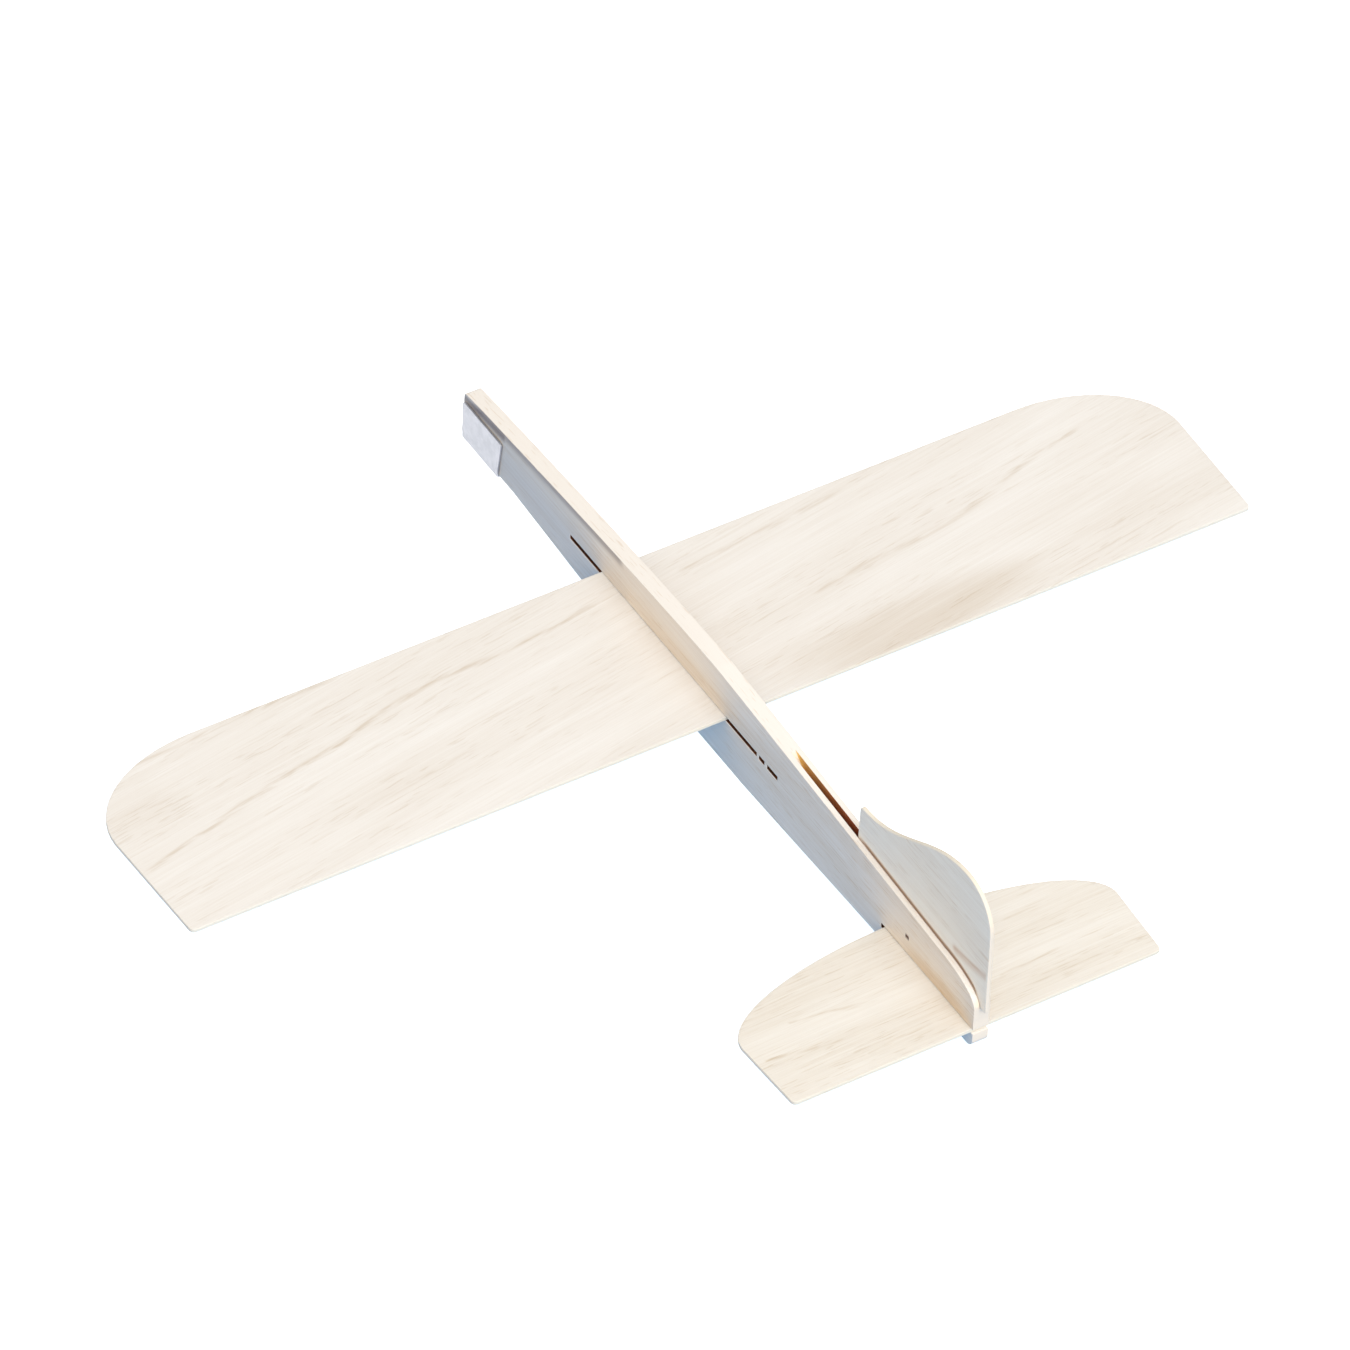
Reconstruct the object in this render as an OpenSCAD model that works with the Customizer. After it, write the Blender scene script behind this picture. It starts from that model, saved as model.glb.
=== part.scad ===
// Balsa hand glider: a profile-cut stick fuselage that four pieces plug onto.
// +X is the right wing tip, +Y the nose, +Z up. The origin is under the middle of
// the overall length, at the height of the belly. Stations run aft from the nose.

/* [Fuselage] */
// Length of the stick from nose to tail
fuselage_length = 171; // [169:1:175]
// Thickness of the stick across the wings
fuselage_thickness = 3.2; // [2.4:0.1:4.8]
// Height of the top edge at its highest, above the belly
crest_height = 19.8; // [18:0.1:22]
// Station of the highest point of the top edge
crest_station = 85.5; // [75:0.5:95]
// Height of the top edge at the nose
nose_top_height = 15.5; // [14.5:0.1:17]
// Height of the underside at the nose
nose_keel_height = 5.3; // [4:0.1:6]
// Height of the underside where the belly begins to drop
throat_height = 3.6; // [2:0.1:4]
// Height of the underside along the tail boom
boom_keel_height = 1.9; // [0.5:0.1:3]

/* [Wing] */
// Overall span of the wing
wing_span = 216; // [200:1:230]
// Chord of the wing from leading to trailing edge
wing_chord = 42; // [38:0.5:46]
// Thickness of the sheet that the wing, tailplane and fin are cut from
sheet_thickness = 0.8; // [0.6:0.1:1.2]
// Station of the wing's leading edge
wing_station = 48.5; // [46:0.5:52]
// Height of the wing's upper face above the belly
wing_height = 11; // [9:0.1:12]
// Width of the rounded front corner of each wing tip, along the span
tip_round_span = 24; // [12:1:36]
// Depth of that corner along the chord
tip_round_chord = 17; // [8:1:24]

/* [Tailplane] */
// Overall span of the tailplane
tailplane_span = 75; // [64:1:84]
// Chord of the tailplane at its root
tailplane_chord = 27.8; // [24:0.2:32]
// Height of the tailplane's upper face above the belly
tailplane_height = 5.5; // [5:0.1:6.5]
// Depth of the tailplane's swept-back front corner along the chord
tailplane_round_chord = 12.5; // [6:0.5:18]

/* [Fin] */
// Length of the fin along the fuselage
fin_length = 41.2; // [36:0.2:48]
// Height of the fin's front shoulder above the belly
fin_shoulder_height = 24.3; // [22:0.1:28]
// Height of the fin's top above the belly
fin_top_height = 36.5; // [34:0.1:42]
// How far the fin's trailing edge stands behind the tail
fin_overhang = 1.5; // [0:0.1:3]

/* [Nose weight] */
// Length of the folded metal clip along the nose
clip_length = 13.4; // [8:0.2:16]
// Thickness of the clip's sheet metal
clip_gauge = 0.5; // [0.3:0.1:0.8]
// Height that the clip's flanks reach above the nose's underside
clip_flank_height = 8.6; // [5:0.2:9]

/* [Fits] */
// Clearance on each side of a sheet in its slot
slot_clearance = 0.1; // [0.05:0.01:0.2]
// Clearance between the clip and the nose
clip_clearance = 0.05; // [0.03:0.01:0.1]

/* [Hidden] */

// Points along each rounded stretch of an outline
arc_steps = 16;
// Points along each long gentle curve of the fuselage
sweep_steps = 24;
// How far a cutting solid runs past the face it cuts
overcut = 1;

nose_y = (fuselage_length + fin_overhang) / 2;
tail_y = nose_y - fuselage_length;
slot_height = sheet_thickness + 2 * slot_clearance;
half_span = wing_span / 2;
half_tail_span = tailplane_span / 2;

// Fuselage outline
clip_seat_length = 18.5;
throat_station = 41.5;
belly_front_station = 66;
belly_rear_station = 96.5;
boom_station = 140.5;
tail_heel_height = 1.2;
tail_round_length = 11.5;
tail_round_station = fuselage_length - tail_round_length;
tail_round_top = 15;
tail_face_height = 10.5;
nose_rake = 0.7;
nose_corner = 0.8;
tail_corner = 1.8;

// Wing slot, and the two short slits that thin bridges of wood divide from it
slot_front_gap = 10.8;
slot_rear_gap = 10.2;
bridge_slits = [[101.4, 103.2], [104.1, 107.5]];
tip_corner = 1;
tip_taper = 1;

// Tailplane
tailplane_rear_inset = 0.5;
tailplane_slot_gap = 1;
tailplane_tip_taper = 0.8;

// Fin and its groove, whose front end is the run-out of a round saw
groove_floor_height = 10.2;
groove_flat_gap = 3;
groove_front_gap = 21.7;
fin_front_corner = 0.8;
fin_rear_corner = 7.8;
fin_step_lean = 0.4;
groove_rise = top_height(nose_y - fin_front_y() - groove_front_gap) - groove_floor_height;
groove_run = groove_front_gap - groove_flat_gap;
saw_radius = (groove_run * groove_run + groove_rise * groove_rise) / (2 * groove_rise);

// Nose clip
clip_inset = 0.3;
clip_rear_slant = 1.5;
clip_bend_radius = 0.9;
clip_corner = 0.8;

// Place along the length of a station measured aft from the nose
function y_at(station) = nose_y - station;
function wing_front_y() = y_at(wing_station);
function wing_rear_y() = wing_front_y() - wing_chord;
function fin_rear_y() = tail_y - fin_overhang;
function fin_front_y() = fin_rear_y() + fin_length;
function tailplane_rear_y() = tail_y + tailplane_rear_inset;
function tailplane_front_y() = tailplane_rear_y() + tailplane_chord;

// Part of the way from one value to another, and an S-shaped part of the way
function mix(a, b, t) = a + (b - a) * t;
function s_curve(t) = (1 - cos(180 * t)) / 2;

// Points of an elliptical arc about a centre, from one angle to another
function arc(centre, rx, ry, from, to, steps = arc_steps) =
    [for (i = [0:steps])
        let (a = mix(from, to, i / steps))
        centre + [rx * cos(a), ry * sin(a)]];

// Height of the fuselage's top edge: it rises in a bow to the crest, then falls gently
function top_height(s) =
    s < crest_station
        ? mix(crest_height, nose_top_height, pow(1 - s / crest_station, 1.5))
        : mix(crest_height, tail_round_top,
              pow((s - crest_station) / (tail_round_station - crest_station), 1.1));

// Height of the fuselage's underside between the throat and the level belly
function keel_height(s) =
    mix(throat_height, 0,
        s_curve((s - throat_station) / (belly_front_station - throat_station)));

// A side outline, drawn as [y, z], as a sheet that is centred on x = 0
module upright(thickness) {
    rotate([90, 0, 90])
        linear_extrude(thickness, center = true)
            children();
}

// A cut through the whole thickness of the stick between two stations
module side_cut(front, rear, bottom, height) {
    translate([-fuselage_thickness / 2 - overcut, y_at(rear), bottom])
        cube([fuselage_thickness + 2 * overcut, rear - front, height]);
}

module fuselage_outline() {
    top_edge = [for (i = [1:sweep_steps])
        let (s = mix(nose_corner, tail_round_station, i / sweep_steps))
        [y_at(s), top_height(s)]];
    tail_round = arc([tail_y + tail_round_length, tail_face_height],
                     -tail_round_length, tail_round_top - tail_face_height, 90, 0);
    tail_heel = arc([tail_y + tail_corner, tail_heel_height + tail_corner],
                    tail_corner, tail_corner, 180, 270);
    boom = [[y_at(boom_station), boom_keel_height],
            [y_at(belly_rear_station), 0]];
    keel = [for (i = [sweep_steps:-1:0])
        let (s = mix(throat_station, belly_front_station, i / sweep_steps))
        [y_at(s), keel_height(s)]];
    clip_seat = [[y_at(clip_seat_length), nose_keel_height]];
    chin = arc([nose_y - nose_corner, nose_keel_height + nose_corner],
               nose_corner, nose_corner, 270, 360, 4);
    brow = arc([nose_y - nose_rake - nose_corner, nose_top_height - nose_corner],
               nose_corner, nose_corner, 0, 90, 4);
    polygon(concat(brow, top_edge, tail_round, tail_heel, boom, keel, clip_seat, chin));
}

module fin_groove() {
    groove_width = sheet_thickness + 2 * slot_clearance;
    flat_front_y = fin_front_y() + groove_flat_gap;
    translate([-groove_width / 2, tail_y - overcut, groove_floor_height])
        cube([groove_width, flat_front_y - tail_y + overcut, crest_height]);
    translate([0, flat_front_y, groove_floor_height + saw_radius])
        rotate([0, 90, 0])
            cylinder(h = groove_width, r = saw_radius, center = true, $fn = 96);
}

module fuselage() {
    color("burlywood")
        difference() {
            upright(fuselage_thickness) fuselage_outline();
            side_cut(wing_station - slot_front_gap,
                     wing_station + wing_chord + slot_rear_gap,
                     wing_height - sheet_thickness - slot_clearance, slot_height);
            for (slit = bridge_slits)
                side_cut(slit[0], slit[1],
                         wing_height - sheet_thickness - slot_clearance, slot_height);
            side_cut(nose_y - tailplane_front_y() - tailplane_slot_gap,
                     fuselage_length + overcut,
                     tailplane_height - sheet_thickness - slot_clearance, slot_height);
            fin_groove();
        }
}

// Right half of the wing, from the root's leading edge round the tip
function wing_half() = concat(
    arc([half_span - tip_round_span, wing_front_y() - tip_round_chord],
        tip_round_span, tip_round_chord, 90, 0),
    arc([half_span - tip_taper - tip_corner, wing_rear_y() + tip_corner],
        tip_corner, tip_corner, 0, -90, 4));

// Right half of the tailplane: one long swept arc, then a straight tip
function tailplane_half() = concat(
    arc([0, tailplane_front_y() - tailplane_round_chord],
        half_tail_span, tailplane_round_chord, 88, 0, sweep_steps),
    arc([half_tail_span - tailplane_tip_taper - tip_corner, tailplane_rear_y() + tip_corner],
        tip_corner, tip_corner, 0, -90, 4));

// The same points on the other side of the centre line, in the reverse order
function mirrored(points) =
    [for (i = [len(points) - 1:-1:0]) [-points[i][0], points[i][1]]];

// A level sheet with equal halves, its upper face at a given height
module level_sheet(right_half, height) {
    translate([0, 0, height - sheet_thickness])
        linear_extrude(sheet_thickness)
            polygon(concat(right_half, mirrored(right_half)));
}

module wing() {
    color("wheat") level_sheet(wing_half(), wing_height);
}

module stabilizer() {
    color("wheat") level_sheet(tailplane_half(), tailplane_height);
}

module fin() {
    foot = groove_floor_height + slot_clearance;
    front = fin_front_y();
    rear = fin_rear_y();
    shoulder_y = front - fin_step_lean - fin_front_corner;
    shoulder = arc([shoulder_y, fin_shoulder_height - fin_front_corner],
                   fin_front_corner, fin_front_corner, 0, 80, 4);
    ogee = [for (i = [0:sweep_steps])
        let (t = i / sweep_steps)
        [mix(shoulder_y, rear + fin_rear_corner, t),
         mix(fin_shoulder_height, fin_top_height, s_curve(t))]];
    top_corner = arc([rear + fin_rear_corner, fin_top_height - fin_rear_corner],
                     fin_rear_corner, fin_rear_corner, 96, 180, 12);
    color("linen")
        upright(sheet_thickness)
            polygon(concat([[front, foot]], shoulder, ogee, top_corner, [[rear, foot]]));
}

// Cross-section of the folded clip, drawn as [x, z] about the nose's underside
module clip_section() {
    inner = fuselage_thickness / 2 + clip_clearance;
    outer = inner + clip_gauge;
    floor_z = -clip_clearance - clip_gauge;
    difference() {
        polygon(concat(
            [[outer, clip_flank_height], [-outer, clip_flank_height]],
            arc([clip_bend_radius - outer, floor_z + clip_bend_radius],
                clip_bend_radius, clip_bend_radius, 180, 270, 6),
            arc([outer - clip_bend_radius, floor_z + clip_bend_radius],
                clip_bend_radius, clip_bend_radius, 270, 360, 6)));
        translate([-inner, -clip_clearance])
            square([2 * inner, clip_flank_height + overcut]);
    }
}

// Side outline of the clip: its rear edge slants forward towards the bottom
module clip_side() {
    front = nose_y - nose_rake - clip_inset;
    rear = front - clip_length;
    bottom = nose_keel_height - clip_clearance - clip_gauge - overcut;
    top = nose_keel_height + clip_flank_height;
    polygon(concat(
        [[rear + clip_rear_slant, bottom], [front, bottom]],
        arc([front - clip_corner, top - clip_corner], clip_corner, clip_corner, 0, 90, 4),
        arc([rear + clip_corner, top - clip_corner], clip_corner, clip_corner, 90, 170, 4)));
}

module nose_weight() {
    reach = 2 * fuselage_length;
    color("lavender")
        intersection() {
            translate([0, 0, nose_keel_height])
                rotate([90, 0, 0])
                    linear_extrude(reach, center = true)
                        clip_section();
            upright(4 * fuselage_thickness) clip_side();
        }
}

fuselage();
wing();
stabilizer();
fin();
nose_weight();
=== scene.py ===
"""Balsa hand glider: the looks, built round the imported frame."""
import math

import bmesh
import bpy
from mathutils import Matrix, Vector, noise
from mathutils.bvhtree import BVHTree


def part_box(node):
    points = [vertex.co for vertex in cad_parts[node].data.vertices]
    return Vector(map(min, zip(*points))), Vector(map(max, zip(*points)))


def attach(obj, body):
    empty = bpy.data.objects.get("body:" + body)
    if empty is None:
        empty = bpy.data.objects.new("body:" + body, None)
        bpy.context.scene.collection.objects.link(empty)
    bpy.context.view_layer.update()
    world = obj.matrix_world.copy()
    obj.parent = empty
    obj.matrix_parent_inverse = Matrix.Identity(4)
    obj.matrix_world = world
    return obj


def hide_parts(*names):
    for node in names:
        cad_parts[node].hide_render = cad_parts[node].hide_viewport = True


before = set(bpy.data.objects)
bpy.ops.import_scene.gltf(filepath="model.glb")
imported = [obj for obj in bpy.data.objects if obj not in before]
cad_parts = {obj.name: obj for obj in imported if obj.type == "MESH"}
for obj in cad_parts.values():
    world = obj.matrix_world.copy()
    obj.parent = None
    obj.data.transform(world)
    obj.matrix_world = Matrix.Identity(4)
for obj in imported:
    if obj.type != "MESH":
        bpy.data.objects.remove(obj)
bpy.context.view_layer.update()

MM = 0.001
RIGHT = Vector((1, 0, 0))
FORWARD = Vector((0, 1, 0))
UP = Vector((0, 0, 1))

# Die-cut wood: softened edges, grain relief and small dents, all taken inward from the CAD faces.
EDGE_SOFTNESS = 0.11 * MM
RELIEF_DEPTH = 0.022 * MM
NICK_DEPTH = 0.07 * MM

# The sizes of the carved grain, its broad waves and its ragged ends, in millimetres: along the grain,
# across it and through the wood.
RELIEF_SIZE = (14, 0.9, 2.5)
BROAD_SIZE = (40, 5, 9)
CHATTER_SIZE = (1.1, 0.8, 0.4)

# The folded metal strip: softened shear edges, and a surface sunk a little unevenly.
METAL_SOFTNESS = 0.08 * MM
METAL_CELL = 0.45 * MM
HAMMER_SIZE = 3.2 * MM
RIPPLE_SIZE = 1.1 * MM

# Dents with a radius under this many millimetres need finer cuts than the rest of the piece.
SMALL_PIT = 1.0

# Edges that turn outward by more than this are cut corners, and are softened.
CORNER = math.radians(50)

# Vertices this close are joined, and a plane this close to a vertex doesn't cut beside it.
SAME_VERTEX = 0.001 * MM
SAME_PLACE = 0.002 * MM


# ---- camera -----------------------------------------------------------------

def add_camera():
    """A long lens that looks down on the left rear quarter, a little rolled.

    Its angles, distance, target and lens were fitted so that the CAD's outline lies on the photo's.
    """
    azimuth = math.radians(-32.54)
    elevation = math.radians(43.88)
    roll = math.radians(2.17)
    distance = 1.7987
    target = Vector((-0.00382, 0.00905, 0.011))
    back = Vector((math.sin(azimuth) * math.cos(elevation),
                   -math.cos(azimuth) * math.cos(elevation),
                   math.sin(elevation)))
    data = bpy.data.cameras.new("camera")
    data.sensor_fit = "HORIZONTAL"
    data.sensor_width = 36.0
    data.lens = 276.86
    data.clip_start = 0.01
    camera = bpy.data.objects.new("camera", data)
    bpy.context.collection.objects.link(camera)
    turn = (-back).to_track_quat("-Z", "Y").to_matrix()
    lean = Matrix.Rotation(roll, 3, "Z")
    camera.matrix_world = Matrix.Translation(target + back * distance) @ (turn @ lean).to_4x4()
    bpy.context.scene.camera = camera


# ---- mesh work --------------------------------------------------------------

def soften(bm, width, profile):
    """Rounds the outward corners of the mesh."""
    corners = [e for e in bm.edges if e.calc_face_angle_signed(0) > CORNER]
    bmesh.ops.bevel(bm, geom=corners, offset=width, segments=2, profile=profile,
                    affect="EDGES", clamp_overlap=True)


def cut_at(bm, place, direction):
    """Cuts the mesh by a plane that is square to a direction."""
    geometry = bm.verts[:] + bm.edges[:] + bm.faces[:]
    bmesh.ops.bisect_plane(bm, geom=geometry, dist=SAME_PLACE, plane_co=place, plane_no=direction)


def cut_along(bm, direction, spacing):
    """Cuts the whole mesh by parallel planes, so that its flat faces can carry relief."""
    reach = [v.co.dot(direction) for v in bm.verts]
    low, high = min(reach), max(reach)
    for i in range(1, int((high - low) / spacing) + 1):
        cut_at(bm, direction * (low + i * spacing), direction)


def cut_round(bm, centre, radius, directions):
    """Cuts the mesh finely round a small pit, so that the pit can be pressed into it."""
    cuts_each_side = 4
    cuts_per_radius = 3.2
    for direction in directions:
        for step in range(-cuts_each_side, cuts_each_side + 1):
            cut_at(bm, centre + direction * (radius * step / cuts_per_radius), direction)


def copied_mesh(node):
    """The CAD node's mesh as plain polygons, with its split corners joined."""
    bm = bmesh.new()
    bm.from_mesh(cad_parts[node].data)
    bmesh.ops.remove_doubles(bm, verts=bm.verts, dist=SAME_VERTEX)
    flat = math.radians(0.5)
    bmesh.ops.dissolve_limit(bm, angle_limit=flat, verts=bm.verts, edges=bm.edges)
    return bm


def stretched_noise(point, grain, across, thickness, seed, lengths):
    """Noise from -1 to 1 whose features are as long, wide and deep as lengths says, in mm."""
    along_size, across_size, deep_size = lengths
    sample = Vector((point.dot(grain) / (along_size * MM),
                     point.dot(across) / (across_size * MM),
                     point.dot(thickness) / (deep_size * MM)))
    return noise.noise(sample + Vector((seed, 3.1 * seed, 7.7 * seed)))


def sink(bm, depth_at):
    """Moves each vertex inward by the depth that depth_at gives for it, and never outward."""
    bm.normal_update()
    moves = [v.normal * max(0.0, depth_at(v)) for v in bm.verts]
    for v, move in zip(bm.verts, moves):
        v.co -= move


def carve(bm, grain, thickness, seed, dents):
    """Takes grain relief, ragged cut ends, dents and pits off the wood, never adding any.

    Each dent is (centre, radius, depth), in millimetres, and faces the side that its centre lies on.
    """
    across = thickness.cross(grain)

    def depth_at(v):
        flat = abs(v.normal.dot(thickness))
        end = abs(v.normal.dot(grain))
        side = max(0.0, 1.0 - flat)
        figure = stretched_noise(v.co, grain, across, thickness, seed, RELIEF_SIZE)
        broad = stretched_noise(v.co, grain, across, thickness, seed + 5, BROAD_SIZE)
        chatter = stretched_noise(v.co, grain, across, thickness, seed + 9, CHATTER_SIZE)
        depth = RELIEF_DEPTH * (0.5 + 0.32 * figure + 0.18 * broad)
        depth += NICK_DEPTH * side * max(0.0, chatter) * (0.25 + 0.75 * end)
        for centre, radius, press in dents:
            reach = (v.co / MM - Vector(centre)).length / radius
            if reach < 1.0 and flat > 0.5:
                depth += press * MM * (1.0 - reach * reach) ** 2
        return depth

    sink(bm, depth_at)


def finish_piece(bm, name, node, material):
    """Makes the piece's object, which rides on its CAD node's body and stands for that node."""
    bmesh.ops.triangulate(bm, faces=[f for f in bm.faces if len(f.verts) > 4])
    bmesh.ops.recalc_face_normals(bm, faces=bm.faces)
    mesh = bpy.data.meshes.new(name)
    bm.to_mesh(mesh)
    bm.free()
    for polygon in mesh.polygons:
        polygon.use_smooth = True
    mesh.materials.append(material)
    piece = bpy.data.objects.new(name, mesh)
    bpy.context.collection.objects.link(piece)
    shading = piece.modifiers.new("even shading", "WEIGHTED_NORMAL")
    shading.mode = "FACE_AREA_WITH_ANGLE"
    shading.weight = 60
    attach(piece, node)
    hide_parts(node)
    return piece


def wood_piece(node, name, grain, thickness, seed, cell, dents, material):
    """A sheet or stick of balsa, cut as finely along and across its grain as cell says, in mm."""
    bm = copied_mesh(node)
    soften(bm, EDGE_SOFTNESS, 0.55)
    across = thickness.cross(grain)
    cut_along(bm, grain, cell[0] * MM)
    cut_along(bm, across, cell[1] * MM)
    for centre, radius, press in dents:
        if radius < SMALL_PIT:
            cut_round(bm, Vector(centre) * MM, radius * MM, (grain, across))
    carve(bm, grain, thickness, seed, dents)
    return finish_piece(bm, name, node, material)


def metal_clip(node, name, material):
    """The nose weight: a folded strip with rounded shear edges and faint hammer marks."""
    bm = copied_mesh(node)
    soften(bm, METAL_SOFTNESS, 0.5)
    for direction in (FORWARD, UP, RIGHT):
        cut_along(bm, direction, METAL_CELL)

    def depth_at(v):
        wave = noise.noise(v.co / HAMMER_SIZE + Vector((4, 9, 2)))
        ripple = noise.noise(v.co / RIPPLE_SIZE + Vector((8, 3, 5)))
        return (0.035 + 0.025 * wave + 0.010 * ripple) * MM

    sink(bm, depth_at)
    finish_piece(bm, name, node, material)


# ---- materials --------------------------------------------------------------

class Tree:
    """Short forms for building a node tree."""

    def __init__(self, owner):
        owner.use_nodes = True
        self.nodes = owner.node_tree.nodes
        self.links = owner.node_tree.links
        self.nodes.clear()

    def add(self, kind, **settings):
        """A new node with its settings."""
        node = self.nodes.new(kind)
        for key, value in settings.items():
            setattr(node, key, value)
        return node

    def feed(self, socket, source):
        """Links a socket to another node's output, or sets its value."""
        if isinstance(source, bpy.types.NodeSocket):
            self.links.new(source, socket)
        else:
            socket.default_value = source

    def math(self, operation, a, b=0.0, c=0.0):
        """The result of a calculation on numbers or sockets."""
        node = self.add("ShaderNodeMath", operation=operation)
        for socket, source in zip(node.inputs, (a, b, c)):
            self.feed(socket, source)
        return node.outputs[0]

    def noise(self, vector, stretch, detail=2.0, roughness=0.5, distortion=0.0, shift=(0, 0, 0)):
        """Noise from 0 to 1 that repeats as often along each axis as stretch says."""
        mapping = self.add("ShaderNodeMapping")
        self.feed(mapping.inputs["Vector"], vector)
        mapping.inputs["Scale"].default_value = stretch
        mapping.inputs["Location"].default_value = shift
        node = self.add("ShaderNodeTexNoise", noise_dimensions="3D")
        self.feed(node.inputs["Vector"], mapping.outputs[0])
        node.inputs["Scale"].default_value = 1.0
        node.inputs["Detail"].default_value = detail
        node.inputs["Roughness"].default_value = roughness
        node.inputs["Distortion"].default_value = distortion
        return node.outputs[0]

    def ramp(self, value, low, high, to_low=0.0, to_high=1.0, smooth=True):
        """Goes from to_low to to_high as the value goes from low to high, and stays level beyond."""
        shape = "SMOOTHSTEP" if smooth else "LINEAR"
        node = self.add("ShaderNodeMapRange", interpolation_type=shape)
        for socket, source in zip(node.inputs, (value, low, high, to_low, to_high)):
            self.feed(socket, source)
        return node.outputs[0]

    def mix(self, factor, a, b):
        """Colour a where the factor is 0 and colour b where it is 1."""
        node = self.add("ShaderNodeMix", data_type="RGBA")
        self.feed(node.inputs[0], factor)
        self.feed(node.inputs[6], a)
        self.feed(node.inputs[7], b)
        return node.outputs[2]

    def curve(self, value, points):
        """A smooth curve through points whose coordinates both lie from 0 to 1."""
        node = self.add("ShaderNodeFloatCurve")
        self.feed(node.inputs["Value"], value)
        line = node.mapping.curves[0]
        line.points[0].location = points[0]
        line.points[-1].location = points[-1]
        for point in points[1:-1]:
            line.points.new(*point)
        node.mapping.update()
        return node.outputs[0]

    def millimetres(self, place):
        """The object's own coordinates from a Texture Coordinate node, in millimetres."""
        mapping = self.add("ShaderNodeMapping")
        self.feed(mapping.inputs["Vector"], place.outputs["Object"])
        mapping.inputs["Scale"].default_value = (1 / MM, 1 / MM, 1 / MM)
        return mapping.outputs[0]

    def axes(self, vector):
        """The three parts of a vector."""
        node = self.add("ShaderNodeSeparateXYZ")
        self.feed(node.inputs[0], vector)
        return node.outputs

    def bump(self, height, strength, distance):
        """The shading normal over a height that goes from 0 to 1."""
        node = self.add("ShaderNodeBump")
        node.inputs["Strength"].default_value = strength
        node.inputs["Distance"].default_value = distance
        self.feed(node.inputs["Height"], height)
        return node.outputs[0]

    def surface(self, colour, roughness, normal):
        """The material's shader, joined to its output."""
        shader = self.add("ShaderNodeBsdfPrincipled")
        self.feed(shader.inputs["Base Color"], colour)
        self.feed(shader.inputs["Roughness"], roughness)
        if normal is not None:
            self.feed(shader.inputs["Normal"], normal)
        out = self.add("ShaderNodeOutputMaterial")
        self.feed(out.inputs["Surface"], shader.outputs[0])
        return shader


def rgb(r, g, b):
    """An sRGB colour, 0 to 255, as the linear value that shaders take."""
    def linear(c):
        c /= 255.0
        return c / 12.92 if c <= 0.04045 else ((c + 0.055) / 1.055) ** 2.4
    return (linear(r), linear(g), linear(b), 1.0)


def streak(tree, along, across, points, width, wobble):
    """How strong a streak is. It follows points (along, across), in mm, and fades at its ends."""
    start, end = points[0][0], points[-1][0]
    heights = [p[1] for p in points]
    low, high = min(heights) - 1.0, max(heights) + 1.0
    share = tree.ramp(along, start, end, smooth=False)
    shape = [((x - start) / (end - start), (y - low) / (high - low)) for x, y in points]
    line = tree.math("MULTIPLY_ADD", tree.curve(share, shape), high - low, low)
    offset = tree.math("SUBTRACT", across, line)
    offset = tree.math("ADD", offset, wobble)
    distance = tree.math("ABSOLUTE", offset)
    body = tree.ramp(distance, 0.0, width, 1.0, 0.0)
    entry = tree.ramp(share, 0.0, 0.04)
    leave = tree.ramp(share, 0.88, 1.0, 1.0, 0.0)
    return tree.math("MULTIPLY", body, tree.math("MULTIPLY", entry, leave))


# How often each kind of wood figure repeats in a millimetre: along the grain, across it, through it.
FIBRES = (0.028, 1.7, 1.2)
THREADS = (0.07, 5.5, 4.0)
BANDS = (0.011, 0.15, 0.08)
CLOUDS = (0.022, 0.10, 0.05)
DASHES = (0.20, 3.1, 3.1)
WOBBLE = (0.07, 0.3, 0.1)
BREAKS = (0.16, 1.3, 0.5)

# The cut ends of the grain are a warmer cream than the long edges.
END_GRAIN = rgb(255, 235, 208)


def laid_wood(tree, place, angle, seed, plane):
    """Places in mm: along and across the piece's plane, then the whole place turned to the grain."""
    x, y, z = tree.axes(tree.millimetres(place))
    order = (x, y, z) if plane == "XY" else (y, z, x)
    laid = tree.add("ShaderNodeCombineXYZ")
    for socket, source in zip(laid.inputs, order):
        tree.feed(socket, source)
    grain = tree.add("ShaderNodeMapping")
    tree.feed(grain.inputs["Vector"], laid.outputs[0])
    grain.inputs["Rotation"].default_value = (0, 0, -angle)
    grain.inputs["Location"].default_value = (37 * seed, 19 * seed, 5 * seed)
    return order[0], order[1], grain.outputs[0]


def patch(tree, along, across, clouds, centre, size):
    """A soft oval patch with a cloudy rim."""
    u = tree.math("DIVIDE", tree.math("SUBTRACT", along, centre[0]), size[0])
    v = tree.math("DIVIDE", tree.math("SUBTRACT", across, centre[1]), size[1])
    squares = tree.math("ADD", tree.math("MULTIPLY", u, u), tree.math("MULTIPLY", v, v))
    reach = tree.math("SQRT", squares)
    reach = tree.math("MULTIPLY_ADD", tree.math("SUBTRACT", clouds, 0.5), 1.4, reach)
    return tree.ramp(reach, 0.2, 1.15, 1.0, 0.0)


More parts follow.
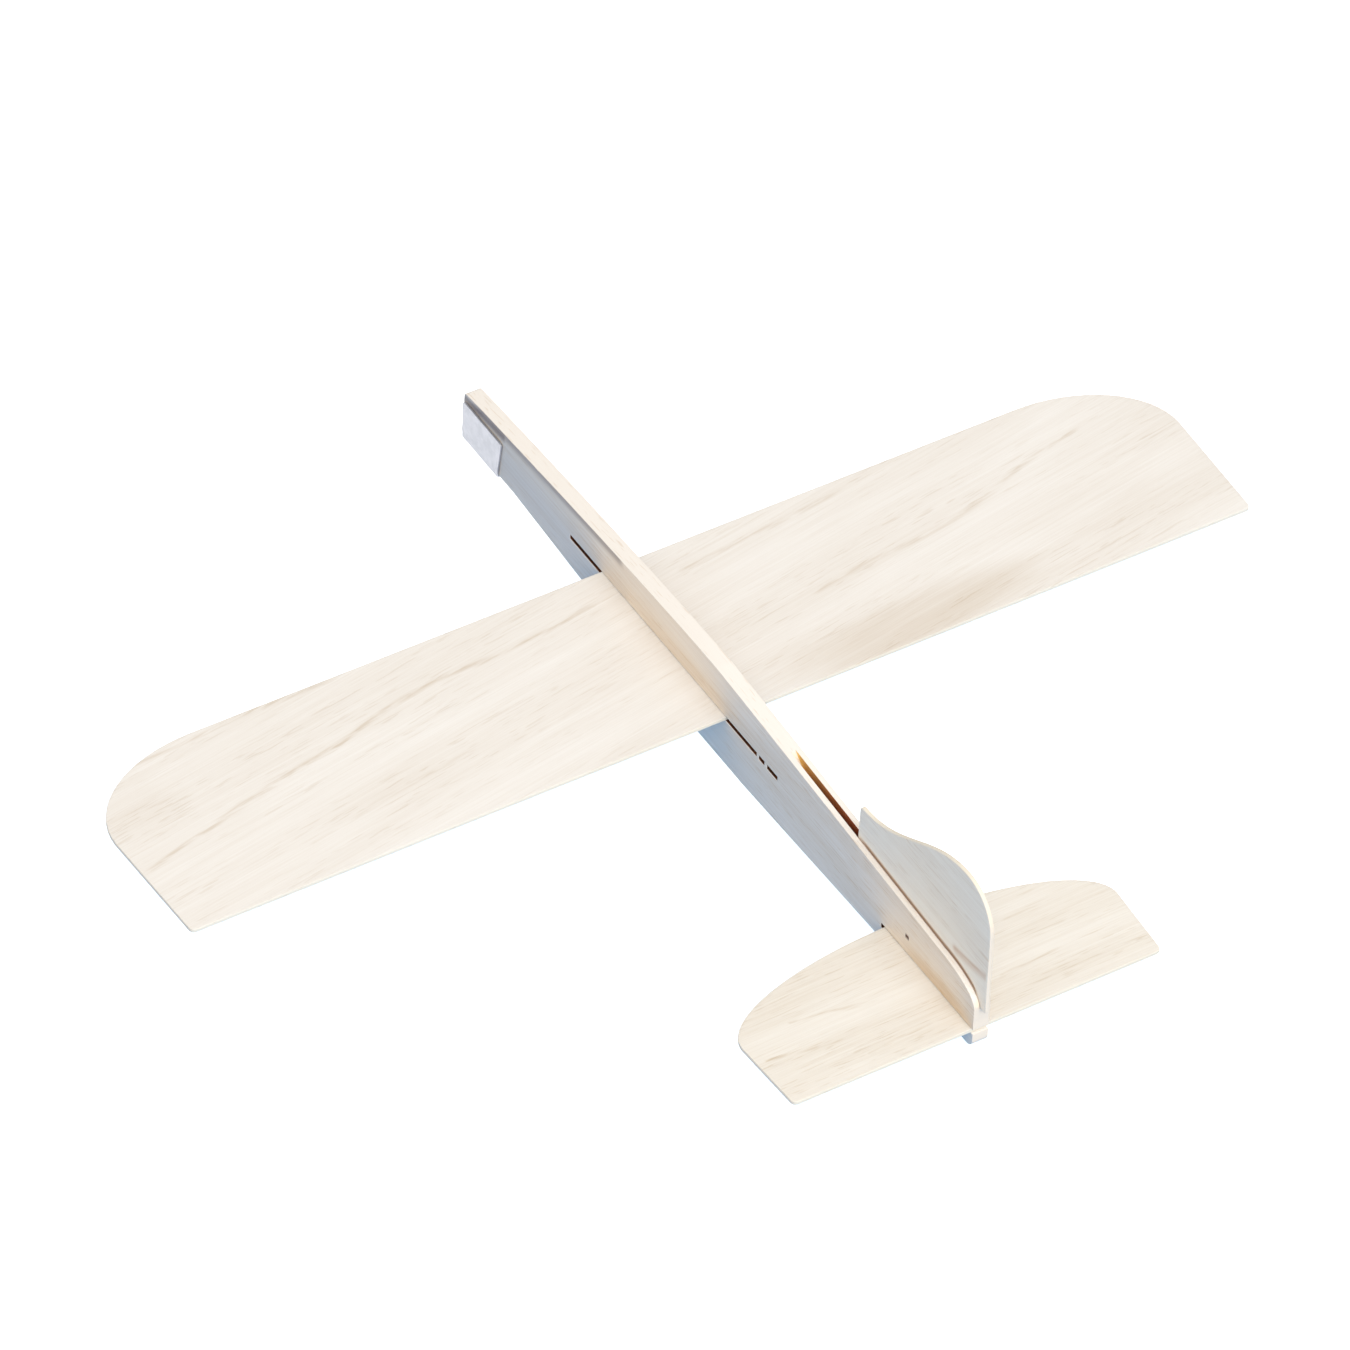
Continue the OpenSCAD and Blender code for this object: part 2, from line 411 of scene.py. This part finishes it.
def wood_figure(tree, wood):
    """The kinds of figure in balsa, each from 0 to 1."""
    fibres = tree.noise(wood, FIBRES, 3.0, 0.62, 0.2)
    threads = tree.noise(wood, THREADS, 2.0, 0.55, shift=(3, 8, 1))
    bands = tree.noise(wood, BANDS, 2.5, 0.5, 0.6, shift=(11, 2, 6))
    clouds = tree.noise(wood, CLOUDS, 3.0, 0.55, 0.3, shift=(5, 13, 4))
    dashes = tree.noise(wood, DASHES, 1.0, 0.4, shift=(2, 5, 9))
    vessels = tree.math("MULTIPLY", tree.ramp(dashes, 0.60, 0.70), tree.ramp(bands, 0.34, 0.62))
    return fibres, threads, bands, clouds, dashes, vessels


def wood_tone(tree, kinds, strength):
    """How tan the wood is, from its figure alone."""
    fibres, threads, bands, clouds, dashes, vessels = kinds
    tone = tree.math("MULTIPLY_ADD", vessels, 0.26 * strength, 0.13)
    for kind, share in ((fibres, 0.34), (threads, 0.40), (bands, 0.34), (clouds, 0.30)):
        tone = tree.math("MULTIPLY_ADD", tree.math("SUBTRACT", kind, 0.5), share * strength, tone)
    return tone


def marked_tone(tree, tone, wood, along, across, clouds, streaks, patches):
    """The tone with the piece's streaks and patches, kept from 0, pale, to 1, tan; the stick's patches
    are painted warm light.
    """
    wobble = tree.math("SUBTRACT", tree.noise(wood, WOBBLE), 0.5)
    wobble = tree.math("MULTIPLY", wobble, 2.2)
    broken = tree.ramp(tree.noise(wood, BREAKS, shift=(7, 7, 2)), 0.36, 0.62, 0.12, 1.0)
    for points, width, strength in streaks:
        mark = tree.math("MULTIPLY", streak(tree, along, across, points, width, wobble), broken)
        tone = tree.math("MULTIPLY_ADD", mark, strength, tone)
    for centre, size, strength in patches:
        mark = patch(tree, along, across, clouds, centre, size)
        tone = tree.math("MULTIPLY_ADD", mark, strength, tone)
    return tree.ramp(tone, 0.0, 1.0, smooth=False)


def cut_edges(tree, colour, through, lengthwise, dashes, tan, edge):
    """Colours the cut edges, which show the open pores, and the cut ends of the grain."""
    wall = tree.ramp(tree.math("ABSOLUTE", through), 0.45, 0.97, 1.0, 0.0)
    colour = tree.mix(tree.math("MULTIPLY", wall, 0.75), colour, edge)
    pores = tree.ramp(dashes, 0.64, 0.74, 0.0, 0.22)
    colour = tree.mix(tree.math("MULTIPLY", wall, pores), colour, tan)
    end = tree.ramp(tree.math("ABSOLUTE", lengthwise), 0.6, 0.95, 0.0, 0.9)
    return tree.mix(end, colour, END_GRAIN)


def lay_marks_and_shade(tree, colour, through, along, across, marks_and_shade):
    """Lays marks and painted shade on the flat faces, on the left side only or on both."""
    for points, width, strength, tint, side in marks_and_shade:
        facing = tree.math("MULTIPLY", through, -1.0)
        if side == "both":
            facing = tree.math("ABSOLUTE", through)
        mark = streak(tree, along, across, points, width, 0.0)
        mark = tree.math("MULTIPLY", mark, tree.ramp(facing, 0.3, 0.8))
        colour = tree.mix(tree.math("MULTIPLY", mark, strength), colour, tint)
    return colour


def balsa(name, pale, tan, edge, seed, angle=0.0, plane="XY", figure=1.0,
          streaks=(), patches=(), marks_and_shade=()):
    """Balsa wood whose grain is turned by an angle from the first axis of the piece's plane.

    Pale and tan are the ends of the wood's colour range, and edge is the colour of its cut edges.
    streaks are (points, width, strength), patches are (centre, size, strength) and the marks are
    (points, width, strength, colour, side), in millimetres in the piece's own plane, which is XY for a
    flat sheet and YZ for an upright one. The marks hold real stains and painted shade alike; their side
    is "left" or "both".
    """
    material = bpy.data.materials.new(name)
    tree = Tree(material)
    place = tree.add("ShaderNodeTexCoord")
    along, across, wood = laid_wood(tree, place, angle, seed, plane)
    kinds = wood_figure(tree, wood)
    fibres, threads, bands, clouds, dashes, vessels = kinds
    tone = wood_tone(tree, kinds, figure)
    tone = marked_tone(tree, tone, wood, along, across, clouds, streaks, patches)
    colour = tree.mix(tone, pale, tan)

    x, y, z = tree.axes(place.outputs["Normal"])
    through, lengthwise = (z, x) if plane == "XY" else (x, y)
    colour = cut_edges(tree, colour, through, lengthwise, dashes, tan, edge)
    colour = lay_marks_and_shade(tree, colour, through, along, across, marks_and_shade)

    height = tree.math("MULTIPLY_ADD", threads, 0.35, tree.math("MULTIPLY", fibres, 0.6))
    height = tree.math("MULTIPLY_ADD", vessels, -0.5, height)
    rough = tree.ramp(fibres, 0.3, 0.7, 0.66, 0.80)
    shader = tree.surface(colour, rough, tree.bump(height, 0.55, 0.05 * MM))
    shader.inputs["Specular IOR Level"].default_value = 0.25
    return material


# From the fin's front edge to where the groove has run out, in millimetres: the groove's painted shade
# fades over this.
GROOVE_AHEAD_OF_FIN = 21

# The heights, in millimetres, between which the slots' painted shade gives way to the groove's.
ABOVE_SLOTS = (11.6, 12.6)


def slot_shade(name, fin_front):
    """Dark brown painted shade for the slot linings, streaked through the thickness.

    The fin groove, which lies above the other slots, has a lighter painted shade that pales from the
    fin's front edge (in millimetres) to the groove's front end.
    """
    material = bpy.data.materials.new(name)
    tree = Tree(material)
    wood = tree.millimetres(tree.add("ShaderNodeTexCoord"))
    ribs = tree.noise(wood, (0.3, 3.0, 1.2), 2.0, 0.6)
    cloud = tree.noise(wood, (0.3, 0.25, 0.4), shift=(3, 7, 1))
    tone = tree.ramp(tree.math("ADD", ribs, cloud), 0.75, 1.25)
    slots = tree.mix(tone, rgb(66, 36, 19), rgb(110, 62, 34))
    groove = tree.mix(tone, rgb(158, 82, 50), rgb(184, 104, 64))
    x, y, z = tree.axes(wood)
    ahead_of_fin = tree.ramp(y, fin_front, fin_front + GROOVE_AHEAD_OF_FIN, smooth=False)
    groove = tree.mix(tree.math("POWER", ahead_of_fin, 2.5), groove, rgb(244, 206, 124))
    colour = tree.mix(tree.ramp(z, *ABOVE_SLOTS), slots, groove)
    rough = tree.ramp(ribs, 0.3, 0.7, 0.72, 0.88)
    shader = tree.surface(colour, rough, tree.bump(ribs, 0.5, 0.04 * MM))
    shader.inputs["Specular IOR Level"].default_value = 0.2
    return material


def zinc(name):
    """Rolled zinc-plated strip: rolling lines down the flanks, a cloudy bloom and fine scuffs."""
    material = bpy.data.materials.new(name)
    tree = Tree(material)
    metal = tree.millimetres(tree.add("ShaderNodeTexCoord"))
    rolling = tree.noise(metal, (6.0, 0.12, 9.0), 3.0, 0.6)
    bloom = tree.noise(metal, (0.5, 0.5, 0.5), 3.0, 0.55, 0.5, shift=(3, 1, 4))
    scuffs = tree.ramp(tree.noise(metal, (2.5, 0.9, 5.0), 1.0, shift=(6, 2, 8)), 0.62, 0.72)
    colour = tree.mix(tree.ramp(bloom, 0.3, 0.7), rgb(180, 182, 188), rgb(196, 197, 203))
    colour = tree.mix(tree.math("MULTIPLY", scuffs, 0.35), colour, rgb(160, 163, 172))
    rough = tree.math("MULTIPLY_ADD", rolling, 0.12, 0.36)
    rough = tree.math("MULTIPLY_ADD", bloom, 0.14, rough)
    height = tree.math("MULTIPLY_ADD", scuffs, -0.5, rolling)
    shader = tree.surface(colour, rough, tree.bump(height, 0.35, 0.02 * MM))
    shader.inputs["Metallic"].default_value = 0.85
    return material


# ---- the glider -------------------------------------------------------------

# The grain's turn from the span, as the streaks in the photo show it.
WING_GRAIN = math.radians(9.5)
TAIL_GRAIN = math.radians(1.0)


def grain_line(angle):
    """The way the grain runs in a flat sheet, turned from the span by an angle."""
    return Vector((math.cos(angle), math.sin(angle), 0))


def make_wing():
    """The wing: long dark streaks that follow the grain, and a warm patch at its right trailing edge."""
    streaks = [
        ([(-108, 11.4), (-85, 17.9), (-62, 23.5), (-44, 27.6), (-27, 28.9), (-1, 31.7)], 0.95, 0.44),
        ([(-104, 35.0), (-84, 36.2), (-68, 37.0), (-54, 37.6)], 0.8, 0.36),
        ([(27, 14.6), (39, 16.9), (56, 18.1), (66, 20.8), (77, 25.0), (97, 29.0)], 1.1, 0.29),
        ([(9.6, 30.9), (28, 33.0), (48, 35.1)], 0.9, 0.30),
        ([(-80, 3.5), (-60, 8.0), (-38, 11.4)], 0.7, 0.16),
        ([(-32, 8.6), (-10, 12.9)], 0.7, 0.14),
    ]
    patches = [((40, 0), (32, 7), 0.36), ((-101, 26), (10, 9), 0.08), ((84, 9), (18, 8), 0.08)]
    material = balsa("balsa wing", pale=rgb(245, 240, 233), tan=rgb(203, 183, 157),
                     edge=rgb(253, 240, 212), angle=WING_GRAIN, seed=1, figure=0.78,
                     streaks=streaks, patches=patches)
    dents = [
        ((-61, 9, 11), 3.0, 0.05),
        ((34, 27, 11), 2.4, 0.04),
        ((88, 13, 11), 3.5, 0.045),
        ((-26, 22, 11), 2.0, 0.035),
    ]
    wood_piece("wing", "wing_sheet", grain_line(WING_GRAIN), UP, seed=1,
               cell=(2.4, 0.45), dents=dents, material=material)


def make_stabilizer():
    """The tailplane, with short flecks along the span."""
    streaks = [
        ([(-36, -73.4), (-21, -75.6)], 0.5, 0.40),
        ([(-28, -67.9), (-11, -70.8)], 0.5, 0.32),
        ([(9, -75.8), (32, -75.1)], 0.5, 0.42),
        ([(5, -66.1), (26, -64.5)], 0.45, 0.30),
        ([(-20, -80.2), (-6, -79.4)], 0.4, 0.26),
        ([(12, -70.6), (27, -69.8)], 0.4, 0.24),
    ]
    material = balsa("balsa tail", pale=rgb(242, 236, 226), tan=rgb(201, 180, 149),
                     edge=rgb(253, 239, 209), angle=TAIL_GRAIN, seed=2, figure=1.05,
                     streaks=streaks)
    dents = [((-20, -66, 5.5), 2.2, 0.04)]
    wood_piece("stabilizer", "tailplane_sheet", grain_line(TAIL_GRAIN), UP, seed=2,
               cell=(1.6, 0.4), dents=dents, material=material)


def stick_top(start, end, step):
    """Points (y, z), in millimetres, along the top edge of the stick beside the fin groove."""
    bm = copied_mesh("fuselage")
    solid = BVHTree.FromBMesh(bm)
    bm.free()
    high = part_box("fuselage")[1]
    beside = high.x - 0.4 * MM
    above = high.z + 50 * MM
    points = []
    for i in range(int((end - start) / step) + 1):
        y = start + i * step
        hit = solid.ray_cast(Vector((beside, y * MM, above)), -UP)[0]
        if hit:
            points.append((y, hit.z / MM))
    return points


def make_fin():
    """The fin, brown along the line where it enters the stick and smeared at its rear corner."""
    smear = [(-86, 18.7), (-81, 17.6), (-75, 17.0)]
    streaks = [(smear, 0.6, 0.45)]
    joint = [(y, z + 0.2) for y, z in stick_top(-84, -44, 4)]
    marks_and_shade = [
        (joint, 0.75, 0.85, rgb(160, 112, 70), "both"),
        (smear, 1.6, 0.35, rgb(196, 146, 104), "left"),
    ]
    material = balsa("balsa fin", pale=rgb(255, 244, 225), tan=rgb(216, 189, 157),
                     edge=rgb(242, 233, 214), seed=3, plane="YZ", streaks=streaks, marks_and_shade=marks_and_shade)
    wood_piece("fin", "fin_sheet", FORWARD, RIGHT, seed=3,
               cell=(1.4, 0.4), dents=[], material=material)


def make_fuselage():
    """The stick, with a dark band under its top edge, painted shade on its left side, painted warm light
    above the wing and tailplane, a pin hole and painted shade in its slots.
    """
    top_edge_band = [(y, z - 0.35) for y, z in stick_top(30, 86, 8)]
    # A dark band just under the top edge from ahead of the wing to the nose, painted cool shade on the
    # side ahead of the wing, painted shade on the strip of side above the clip, and a pin mark.
    marks_and_shade = [
        (top_edge_band, 1.8, 0.50, rgb(104, 84, 84), "left"),
        # Painted cool shade: a blue-grey tint over the left side ahead of the wing.
        ([(28, 9.0), (60, 9.5), (90, 11.0)], 9.0, 0.14, rgb(120, 130, 150), "left"),
        # Painted shade: the dark strip of the left side above the clip.
        ([(71, 15.5), (76, 15.0), (92, 13.9)], 1.5, 0.55, rgb(96, 78, 84), "left"),
        ([(-64.1, 9.3), (-62.9, 9.3)], 0.8, 1.0, rgb(80, 42, 26), "left"),
    ]
    # Painted warm light: the tan patch above the tailplane and the faint one above the wing stand for
    # warm light thrown onto the stick by those sheets.
    patches = [((-74, 6.5), (13, 3.2), 0.42), ((12, 12.5), (42, 3.5), 0.15)]
    material = balsa("balsa stick", pale=rgb(246, 234, 218), tan=rgb(206, 170, 122),
                     edge=rgb(251, 245, 237), seed=4, plane="YZ", figure=1.1,
                     patches=patches, marks_and_shade=marks_and_shade)
    dents = [((-1.6, -63.5, 9.3), 0.5, 0.09)]
    piece = wood_piece("fuselage", "fuselage_stick", FORWARD, RIGHT, seed=4,
                       cell=(1.5, 0.4), dents=dents, material=material)
    fin_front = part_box("fin")[1].y / MM
    # The second material paints shade into the slots, the slits and the fin groove.
    piece.data.materials.append(slot_shade("painted slot shade", fin_front))
    shade_slot_linings(piece.data)


# How far the faces with painted slot shade reach beyond the wing, both ways.
SLITS_BEHIND_WING = 24 * MM
SLOT_AHEAD_OF_WING = 13 * MM


def shade_slot_linings(mesh):
    """Gives the second material, painted shade, to the faces that line the slots, the slits and the fin
    groove.
    """
    margin = 0.25 * MM
    wing_low, wing_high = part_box("wing")
    tail_low, tail_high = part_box("stabilizer")
    fin_low, fin_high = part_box("fin")
    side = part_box("fuselage")[1].x - 0.15 * MM
    slot_back = wing_low.y - SLITS_BEHIND_WING
    slot_front = wing_high.y + SLOT_AHEAD_OF_WING
    groove_back = tail_low.y + 3 * MM
    groove_half_width = fin_high.x + 0.15 * MM
    for polygon in mesh.polygons:
        centre, normal = polygon.center, polygon.normal
        lining = abs(normal.x) < 0.5 and abs(centre.x) < side
        wing_slot = lining and wing_low.z - margin < centre.z < wing_high.z + margin
        wing_slot = wing_slot and slot_back < centre.y < slot_front
        tail_slot = lining and tail_low.z - margin < centre.z < tail_high.z + margin
        tail_slot = tail_slot and tail_low.y + MM < centre.y < tail_high.y + 2 * MM
        groove = abs(centre.x) < groove_half_width and groove_back < centre.y < 0
        groove = groove and (abs(normal.x) > 0.9 or normal.z > 0.9 and centre.z < fin_low.z)
        if wing_slot or tail_slot or groove:
            polygon.material_index = 1


def make_clip():
    """The nose weight, of plain metal."""
    metal_clip("nose_weight", "nose_clip", zinc("zinc strip"))


# ---- studio -----------------------------------------------------------------

def add_floor():
    """A white lit table. It takes shadows but throws no light of its own on the glider."""
    bm = bmesh.new()
    bmesh.ops.create_grid(bm, x_segments=1, y_segments=1, size=4)
    mesh = bpy.data.meshes.new("floor")
    bm.to_mesh(mesh)
    bm.free()
    floor = bpy.data.objects.new("floor", mesh)
    bpy.context.collection.objects.link(floor)
    floor.visible_diffuse = False
    material = bpy.data.materials.new("floor")
    shader = Tree(material).surface((0.86, 0.86, 0.86, 1), 0.9, None)
    shader.inputs["Emission Color"].default_value = (1, 1, 1, 1)
    shader.inputs["Emission Strength"].default_value = 0.75
    mesh.materials.append(material)


def add_sky():
    """Soft white light from all round above, and cool light thrown up from below."""
    world = bpy.data.worlds.new("sky")
    tree = Tree(world)
    place = tree.add("ShaderNodeTexCoord")
    x, y, z = tree.axes(place.outputs["Generated"])
    above = tree.ramp(z, -0.08, 0.08)
    cool = (0.08, 0.31, 0.70, 1)
    white = (0.68, 0.68, 0.68, 1)
    colour = tree.mix(above, cool, white)
    background = tree.add("ShaderNodeBackground")
    tree.feed(background.inputs["Color"], colour)
    out = tree.add("ShaderNodeOutputWorld")
    tree.feed(out.inputs["Surface"], background.outputs[0])
    bpy.context.scene.world = world


def add_softbox(name, place, aim, size, power, colour):
    """A large square light that points at a place; its size is in metres and its power in watts."""
    data = bpy.data.lights.new(name, "AREA")
    data.shape = "SQUARE"
    data.size = size
    data.energy = power
    data.color = colour
    lamp = bpy.data.objects.new(name, data)
    bpy.context.collection.objects.link(lamp)
    lamp.location = place
    lamp.rotation_euler = (aim - place).to_track_quat("-Z", "Y").to_euler()


bpy.context.scene.view_settings.view_transform = "Standard"
make_wing()
make_stabilizer()
make_fin()
make_fuselage()
make_clip()
add_floor()
add_sky()
add_softbox("key", place=Vector((-0.2, -1.35, 1.1)), aim=Vector((0, 0, 0)),
            size=1.4, power=23.0, colour=(1, 0.99, 0.975))
add_camera()
